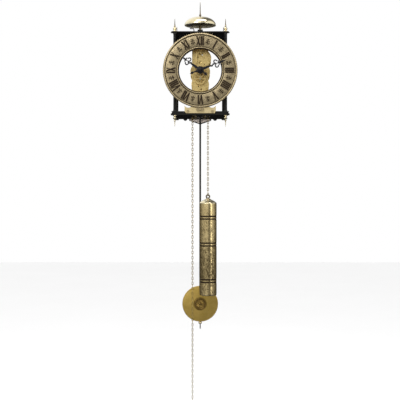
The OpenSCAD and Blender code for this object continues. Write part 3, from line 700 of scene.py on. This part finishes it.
def add_hand(node, body, angle, length, tail, hub, cross):
    """Serpentine hand: boss, shaft, wave, two scrolls, cross, leaf tip and arrow tail."""
    middle = (low(node).y + high(node).y) / 2
    place = upright_at(DIAL.x, middle, DIAL.z, -angle)
    shape = Shape()
    shaft = 22.0  # where the plain shaft ends and the wave begins
    wave_len = cross - 9 - shaft + 1.6
    wave_w = 1.8
    boss = [
        (2.7, -0.58), (hub - 0.4, -0.58), (hub, -0.2), (hub, 0.25), (hub - 0.6, 0.58), (2.7, 0.58),
    ]
    lathe(shape, boss, (DIAL.x, middle, DIAL.z), "Y", 64)
    leaf(shape, place, hub - 1.5, shaft, [2.5, 2.7, 2.2, 1.5])
    wave = [
        (wave_w * math.sin(2 * math.pi * t), shaft - 0.8 + wave_len * t)
        for t in (k / 20 for k in range(21))
    ]
    ribbon(shape, wave, [1.3, 1.0, 1.0, 1.1], 0.5, place)
    ribbon(shape, [(0, shaft - 1), (0, (shaft + cross) / 2), (0, cross)], [0.8, 0.7, 0.9], 0.42, place)
    for s in (-1, 1):
        path = [(s * u, w) for u, w in curl(4.2, cross - 5, 3.1, 2.7, -179, 95, 26)]
        ribbon(shape, path, [0.8, 1.15, 1.2, 1.05, 1.4], 0.5, place)
        ribbon(shape, [(0, cross), (s * 2.2, cross + 0.2), (s * 4.4, cross)], [1.6, 1.1, 1.5], 0.52, place)
    leaf(shape, place, cross - 1.5, length, [1.2, 1.9, 2.0, 1.2, 0.4])
    leaf(shape, place, 1.5 - hub, 6.5 - tail, [1.9, 1.6, 1.3])
    leaf(shape, place, 7.0 - tail, -tail, [1.2, 3.1, 2.4, 1.0, 0.3])
    shape.piece(node + "_pierced", body, "black_hands", sharp=50, replaces=(node,))


def add_hand_nut():
    """Domed cap nut with six flats over the end of the centre arbor."""
    seat = high("hand_nut").y
    h = (seat - low("hand_nut").y) / MM
    shape = Shape()
    base = [(0, 0), (3.3, 0), (3.4, 0.3), (3.4, 1.6)]
    dome = smooth([(3.1, 1.9), (2.95, 2.6), (2.3, h - 0.7), (1.2, h - 0.15), (0, h)], 4)
    at = (DIAL.x, seat, DIAL.z)
    lathe(shape, base, at, "Y", 48, wobble=lambda a: 0.94 + 0.05 * abs(math.cos(3 * a)))
    lathe(shape, [(0, 1.2), (3.0, 1.2)] + dome, at, "Y", 48)
    shape.piece("hand_nut_domed", "minute_hand_body", "black_hands", sharp=35, replaces=("hand_nut",))


add_hand_nut()
add_hand("hour_hand", "hour_hand_body", 305.5, 41.7, 17.0, 7.0, 33.0)
add_hand("minute_hand", "minute_hand_body", 69.0, 52.4, 20.7, 5.4, 37.0)


def add_bushings():
    """Raised, dished bushings round the train's pivots in the front plate."""
    y = low("movement_front_plate").y
    shape = Shape()
    for node in ("great_wheel", "intermediate_wheel", "third_wheel", "escape_wheel"):
        c = centre(node)
        bore = 2.15 if node == "great_wheel" else 1.2
        section = [
            (bore, -0.05), (bore, 0.12), (bore + 1.0, 0.45), (bore + 1.5, 0.5),
            (bore + 1.8, 0.35), (bore + 1.9, -0.05),
        ]
        closed_lathe(shape, section, (c.x, y, c.z), "Y", 48)
    shape.piece("front_plate_bushings", "frame", "yellow_brass", sharp=30)


add_bushings()


def add_apron_relief():
    """Cast scrollwork on the shield behind the pendulum rod."""
    box_low, box_high = low("apron_ornament"), high("apron_ornament")
    place = upright_at(0, box_high.y, box_high.z)
    depth = (box_high.z - box_low.z) / MM
    half = box_high.x / MM
    shape = Shape()
    outline = [
        (-half, 0), (-half, -1.4), (-half * 0.55, -depth * 0.48), (0, -depth),
        (half * 0.55, -depth * 0.48), (half, -1.4), (half, 0),
    ]
    shape.rings([[place(u, v, h) for u, v in outline] for h in (0.1, 1.1, 1.3)])
    relief = upright_at(0, box_high.y - 1.2 * MM, box_high.z)
    for s in (-1, 1):
        for u, v, r, way in ((4.2, -3.4, 2.7, 1), (9.6, -2.5, 2.1, -1), (14.2, -1.6, 1.4, 1)):
            path = [(s * a, b) for a, b in curl(u, v, r, 0.5, 90 * way, -330 * way)]
            ribbon(shape, path, [0.5, 0.7, 0.6, 0.8], 0.75, relief, sides=6)
        border = [(s * half, -0.8), (s * half * 0.55, -depth * 0.42), (0, -depth + 0.8)]
        ribbon(shape, border, [0.5, 0.6, 0.7], 0.7, relief)
    shape.piece("apron_relief", "frame", "antique_silver", sharp=50, replaces=("apron_ornament",))


add_apron_relief()

# ---- turned brass ----


def spike_profile(h):
    """Foot, bulb and spike of a finial h high."""
    bulb = [
        (4.3, 0.0), (4.4, 0.6), (4.2, 1.2), (2.4, 2.0), (1.9, 3.0), (2.6, 3.9), (3.5, 5.0), (3.5, 6.2),
        (2.6, 7.4), (1.5, 8.4), (1.25, 9.2), (1.8, 10.0), (1.9, 10.5), (1.3, 11.2), (1.0, 12.6),
    ]
    spike = [(1.0, 12.6), (0.75, 16), (0.5, h - 3), (0.3, h - 0.4)]
    return [(0, 0)] + smooth(bulb, 3) + smooth(spike, 3) + [(0, h)]


def add_finials():
    for node, sign in (("top_finials", 1), ("bottom_finials", -1)):
        plate = "top_plate" if sign > 0 else "bottom_plate"
        seat = high(plate).z if sign > 0 else low(plate).z
        tip = high(node).z if sign > 0 else low(node).z
        posts = ["post_front_left", "post_front_right"]
        if sign > 0:
            posts += ["post_rear_left", "post_rear_right"]
        shape = Shape()
        for post in posts:
            c = centre(post)
            profile = [(r, sign * h) for r, h in spike_profile(abs(tip - seat) / MM)]
            lathe(shape, profile, (c.x, c.y, seat), "Z", 40)
        brass = SPIKES if sign > 0 else None
        shape.piece(node + "_turned", "frame", "polished_brass", brass, sharp=35, replaces=(node,))


def add_bell():
    c = centre("bell")
    rim = low("bell").z
    r = (high("bell").x - low("bell").x) / 2 / MM
    h = (high("bell").z - rim) / MM
    wall = 1.4
    first, steps = 4, 28  # degrees above the rim where the dome starts, and its steps from there

    def dome(radius, height):
        angles = [math.radians(first + (90 - first) * k / steps) for k in range(steps + 1)]
        return [(radius * max(math.cos(a), 0) ** 0.9, height * math.sin(a)) for a in angles]

    inner, outer = dome(r - wall, h - wall), dome(r, h)
    lip = [(r - wall, 0.9), (r - wall + 0.1, 0.2), (r - 0.7, 0), (r - 0.1, 0.25), (r, 0.9)]
    shape = Shape()
    lathe(shape, inner[::-1] + smooth(lip, 3) + outer, (c.x, c.y, rim), "Z", 128)
    shape.piece("bell_turned", "frame", "polished_brass", BELL, sharp=60, replaces=("bell",))


def add_bell_finial():
    c, base = centre("bell_finial"), low("bell_finial").z
    h = (high("bell_finial").z - base) / MM
    shape = Shape()
    knob = [
        (2.8, 0.0), (2.9, 0.5), (2.6, 1.0), (1.5, 1.6), (1.4, 2.1),
        (2.1, 2.9), (2.2, 3.7), (1.6, 4.7), (1.1, 5.6),
    ]
    taper = [(1.1, 5.6), (0.95, 8), (0.7, 18), (0.4, h - 0.5)]
    profile = [(0, 0)] + smooth(knob, 3) + smooth(taper, 4) + [(0, h)]
    lathe(shape, profile, (c.x, c.y, base), "Z", 40)
    shape.piece(
        "bell_finial_turned", "frame", "antique_brass", DARK_FITTINGS, sharp=35, replaces=("bell_finial",)
    )


add_finials()
add_bell()
add_bell_finial()

# ---- weight ----


def add_weight():
    """Etched tube with three pairs of dark grooves, and a turned cap at each end."""
    r = (high("weight_tube").x - low("weight_tube").x) / 2 / MM
    base = low("weight_tube").z
    height = (high("weight_tube").z - base) / MM
    dial_to_base = (DIAL.z - base) / MM
    grooves = [dial_to_base - drop for drop in (402.8, 397.4, 332.4, 327.0, 280.6, 275.4)]
    profile = [(r - 0.8, 0), (r - 0.2, 0), (r, 0.3)]
    for g in grooves:
        profile += [
            (r, g - 1.5), (r - 0.3, g - 1.35), (r - 0.7, g - 0.9),
            (r - 0.7, g + 0.9), (r - 0.3, g + 1.35), (r, g + 1.5),
        ]
    profile += [(r, height - 0.3), (r - 0.2, height), (r - 0.8, height)]
    tube = Shape()
    at = (WEIGHT.x, WEIGHT.y, base)
    lathe(tube, profile, at, "Z", 128)
    tube.piece("weight_tube_etched", "weight", "antique_brass", ETCHED, sharp=30, replaces=("weight_tube",))

    bands = Shape()
    for g in grooves:
        section = [(r - 0.95, g - 0.95), (r - 0.35, g - 0.85), (r - 0.35, g + 0.85), (r - 0.95, g + 0.95)]
        closed_lathe(bands, section, at, "Z", 96)
    bands.piece("weight_groove_bands", "weight", "antique_brass", MATERIALS["dark_enamel"])

    caps = Shape()
    shoulder = smooth([
        (r, 0.05), (r - 0.1, 0.9), (r - 1.6, 2.6), (r - 4.2, 4.6),
        (r - 7.6, 6.4), (r - 10.2, 7.6), (5.4, 8.6),
    ], 4)
    top = (WEIGHT.x, WEIGHT.y, high("weight_tube").z)
    lathe(caps, [(0, 0)] + shoulder + [(5.2, 9.0), (0, 9.0)], top, "Z", 96)
    foot = [(0, -2), (r - 2.2, -2), (r - 1.0, -1.8), (r - 0.1, -0.9), (r, -0.05), (0, -0.05)]
    lathe(caps, foot, at, "Z", 96)
    caps.piece("weight_caps_turned", "weight", "polished_brass", sharp=35, replaces=("weight_caps",))


add_weight()

# ---- pendulum ----


def add_bob():
    """Spun lens-shaped disc with a rolled edge, the same front and back."""
    r = BOB_R / MM
    front = smooth([
        (0, 4.5), (r * 0.2, 4.45), (r * 0.45, 4.15), (r * 0.7, 3.6), (r * 0.88, 3.0),
        (r - 2.0, 2.7), (r - 1.4, 2.75), (r - 0.5, 2.6), (r - 0.05, 2.0),
    ], 5)
    profile = front + [(r, 0)] + [(p, -h) for p, h in reversed(front)]
    shape = Shape()
    lathe(shape, profile, BOB, "Y", 144)
    shape.piece("pendulum_bob_spun", "pendulum", "satin_gold", sharp=40, replaces=("pendulum_bob",))


def add_medallion():
    """Boss with a rosette of twelve petals inside a beaded ring."""
    seat = high("bob_medallion").y
    at = (BOB.x, seat, BOB.z)
    shape = Shape()
    rim = smooth([
        (8.6, 0.35), (9.2, 0.9), (9.9, 1.25), (10.6, 1.0), (11.0, 0.5),
        (11.6, 0.45), (12.2, 0.7), (12.6, 0.4), (12.6, 0),
    ], 4)
    lathe(shape, [(0, 0), (0, 0.3), (8.6, 0.3)] + rim[1:] + [(0, -0.2)], at, "Y", 96)
    petals, beads = 12, 36
    bead_circle = 11.1 * MM
    petal = [(0, 2.8 + 5.2 * t / 8) for t in range(9)]
    for k in range(petals):
        place = upright_at(BOB.x, seat - 0.5 * MM, BOB.z, 360 / petals * k)
        ribbon(shape, petal, [0.4, 0.95, 1.15, 0.9, 0.3], 0.7, place, sides=6)
    for k in range(beads):
        a = math.radians(360 / beads * k)
        spot = (BOB.x + bead_circle * math.cos(a), seat, BOB.z + bead_circle * math.sin(a))
        lathe(shape, [(0.75, 0.1), (0.68, 0.7), (0.4, 1.05), (0, 1.15)], spot, "Y", 8)
    lathe(shape, smooth([(3.2, 0.3), (3.0, 1.0), (2.0, 1.5), (0, 1.7)], 4), at, "Y", 40)
    shape.piece(
        "bob_medallion_rosette", "pendulum", "satin_gold", MEDALLION, sharp=40, replaces=("bob_medallion",)
    )


def add_rating_nut():
    """Knurled thumb nut under the bob."""
    c, base = centre("rating_nut"), low("rating_nut").z
    h = (high("rating_nut").z - base) / MM
    shape = Shape()
    knurls = 24
    profile = [
        (1.05, 0), (2.0, 0.05), (3.3, 0.9), (3.45, 1.3),
        (3.45, h - 1.4), (3.3, h - 1.0), (2.0, h - 0.1), (1.05, h),
    ]
    lathe(shape, profile, (c.x, c.y, base), "Z", 96, wobble=lambda a: 1 + 0.025 * math.cos(knurls * a))
    shape.piece("rating_nut_knurled", "pendulum", "polished_brass", sharp=35, replaces=("rating_nut",))


add_bob()
add_medallion()
add_rating_nut()

# ---- carried-over CAD nodes: finish, and a small bevel on some of their edges ----

BEVELLED = {  # width of the bevel, in millimetres
    "top_plate": 0.35, "bottom_plate": 0.8, "dial_bracket": 0.35, "hanger_bracket": 0.4,
    "rear_apron": 0.3, "movement_front_plate": 0.25, "movement_back_plate": 0.25, "back_cock": 0.3,
    "numerals": 0.15, "dial_top_tab": 0.3, "hammer": 0.2, "crutch": 0.2, "great_wheel": 0.1,
    "sprocket": 0.15,
}
BEVEL_ANGLE = 40  # degrees between faces from which an edge is bevelled
JOIN_DISTANCE = 1e-6  # metres; the nodes come with separate faces, and a bevel needs joined ones
NUMERAL_SWELL = 0.4 * MM
SPECIAL = {  # nodes whose metal differs from the rest of their slot
    "weight_hook": DARK_FITTINGS, "dial_screws": DARK_FITTINGS, "frame_screws": DARK_FITTINGS,
    "pendulum_rod": ROD_BLACK, "chain_end_ring": CHAIN, "dial_bracket": BRACKET,
}


def bevel_edges(node, width, swell=0.0):
    """Joins the node's faces, pushes them out by swell and bevels the edges."""
    node.modifiers.new("joined", "WELD").merge_threshold = JOIN_DISTANCE
    if swell:
        pushed = node.modifiers.new("full_strokes", "DISPLACE")
        pushed.strength = swell
        pushed.mid_level = 0
    bevel = node.modifiers.new("edge", "BEVEL")
    bevel.width = width
    bevel.segments = 2
    bevel.limit_method = "ANGLE"
    bevel.angle_limit = math.radians(BEVEL_ANGLE)


def finish_cad_nodes():
    slots = {s["node"]: s["material_slot"] for s in frame["record"]["subparts"]}
    for name, node in frame["nodes"].items():
        if not node.material_slots:
            node.data.materials.append(None)
        for slot in node.material_slots:
            slot.material = SPECIAL.get(name, MATERIALS[slots[name]])
        if name in BEVELLED and not node.hide_render:
            bevel_edges(node, BEVELLED[name] * MM, NUMERAL_SWELL if name == "numerals" else 0.0)


finish_cad_nodes()

# ---- studio ----


def make_floor():
    size, drop = 6.0, 0.10  # half its side, and its distance below the clock
    z = cad_low[2] - drop
    mesh = bpy.data.meshes.new("studio_floor")
    corners = [(-size, -size, z), (size, -size, z), (size, size, z), (-size, size, z)]
    mesh.from_pydata(corners, [], [(0, 1, 2, 3)])
    g = Graph("pale_floor")
    colour = g.mix(g.noise(3), (0.93, 0.93, 0.93), (0.97, 0.97, 0.97))
    mesh.materials.append(g.finish(colour, g.ramp(g.noise(8), 0, 1, 0.7, 0.9), metallic=0))
    floor = bpy.data.objects.new("studio_floor", mesh)
    bpy.context.scene.collection.objects.link(floor)
    floor.visible_glossy = False


def area(name, location, target, size, power):
    data = bpy.data.lights.new(name, "AREA")
    data.shape = "RECTANGLE"
    data.size, data.size_y = size
    data.energy = power
    light = bpy.data.objects.new(name, data)
    light.location = location
    light.rotation_euler = (Vector(target) - Vector(location)).to_track_quat("-Z", "Y").to_euler()
    bpy.context.scene.collection.objects.link(light)


def make_world():
    """White to the camera and to diffuse surfaces; to polished ones, bright walls with dark flags."""
    world = bpy.data.worlds.new("studio")
    bpy.context.scene.world = world
    world.use_nodes = True
    tree = world.node_tree
    white = tree.nodes["Background"]
    white.inputs["Color"].default_value = (1, 1, 1, 1)
    white.inputs["Strength"].default_value = 1.0
    mirrored = tree.nodes.new("ShaderNodeBackground")
    place = tree.nodes.new("ShaderNodeTexCoord")
    parts = tree.nodes.new("ShaderNodeSeparateXYZ")
    tree.links.new(place.outputs["Generated"], parts.inputs[0])

    def gradient(axis, stops):
        stretch = tree.nodes.new("ShaderNodeMapRange")
        stretch.inputs["From Min"].default_value = -1
        tree.links.new(parts.outputs[axis], stretch.inputs["Value"])
        ramp = tree.nodes.new("ShaderNodeValToRGB")
        tree.links.new(stretch.outputs["Result"], ramp.inputs["Fac"])
        set_stops(ramp, stops)
        return ramp.outputs["Color"]

    def joined(operation, a, b):
        made = tree.nodes.new("ShaderNodeMath")
        made.operation = operation
        tree.links.new(a, made.inputs[0])
        tree.links.new(b, made.inputs[1])
        return made.outputs[0]

    across = gradient("X", [
        (0.0, 0.7), (0.2, 1.0), (0.5, 0.95), (0.56, 0.3), (0.64, 0.12), (0.78, 0.15), (0.86, 0.9), (1.0, 1.0),
    ])
    depth = gradient("Y", [(0.0, 1.0), (0.5, 0.75), (0.6, 0.10), (1.0, 0.05)])
    above = gradient("Z", [(0.0, 0.0), (0.55, 0.0), (0.68, 1.0), (1.0, 1.0)])
    level = gradient("Z", [(0.0, 0.12), (0.42, 0.4), (0.5, 1.0), (0.8, 1.0), (1.0, 0.9)])
    walls = joined("MULTIPLY", across, joined("MAXIMUM", depth, above))
    tree.links.new(joined("MULTIPLY", walls, level), mirrored.inputs["Color"])
    mirrored.inputs["Strength"].default_value = 1.0
    rays = tree.nodes.new("ShaderNodeLightPath")
    mix = tree.nodes.new("ShaderNodeMixShader")
    tree.links.new(rays.outputs["Is Glossy Ray"], mix.inputs["Fac"])
    tree.links.new(white.outputs[0], mix.inputs[1])
    tree.links.new(mirrored.outputs[0], mix.inputs[2])
    tree.links.new(mix.outputs[0], tree.nodes["World Output"].inputs["Surface"])


make_floor()
make_world()
aim = (0, -0.1, -0.2)
area("key", (-0.9, -1.5, 0.7), aim, (0.7, 1.0), 14)
area("fill", (1.1, -1.2, 0.0), aim, (0.5, 1.4), 5)
area("top", (0.1, -0.5, 1.0), aim, (1.0, 0.6), 7)
bpy.context.scene.view_settings.view_transform = "Standard"
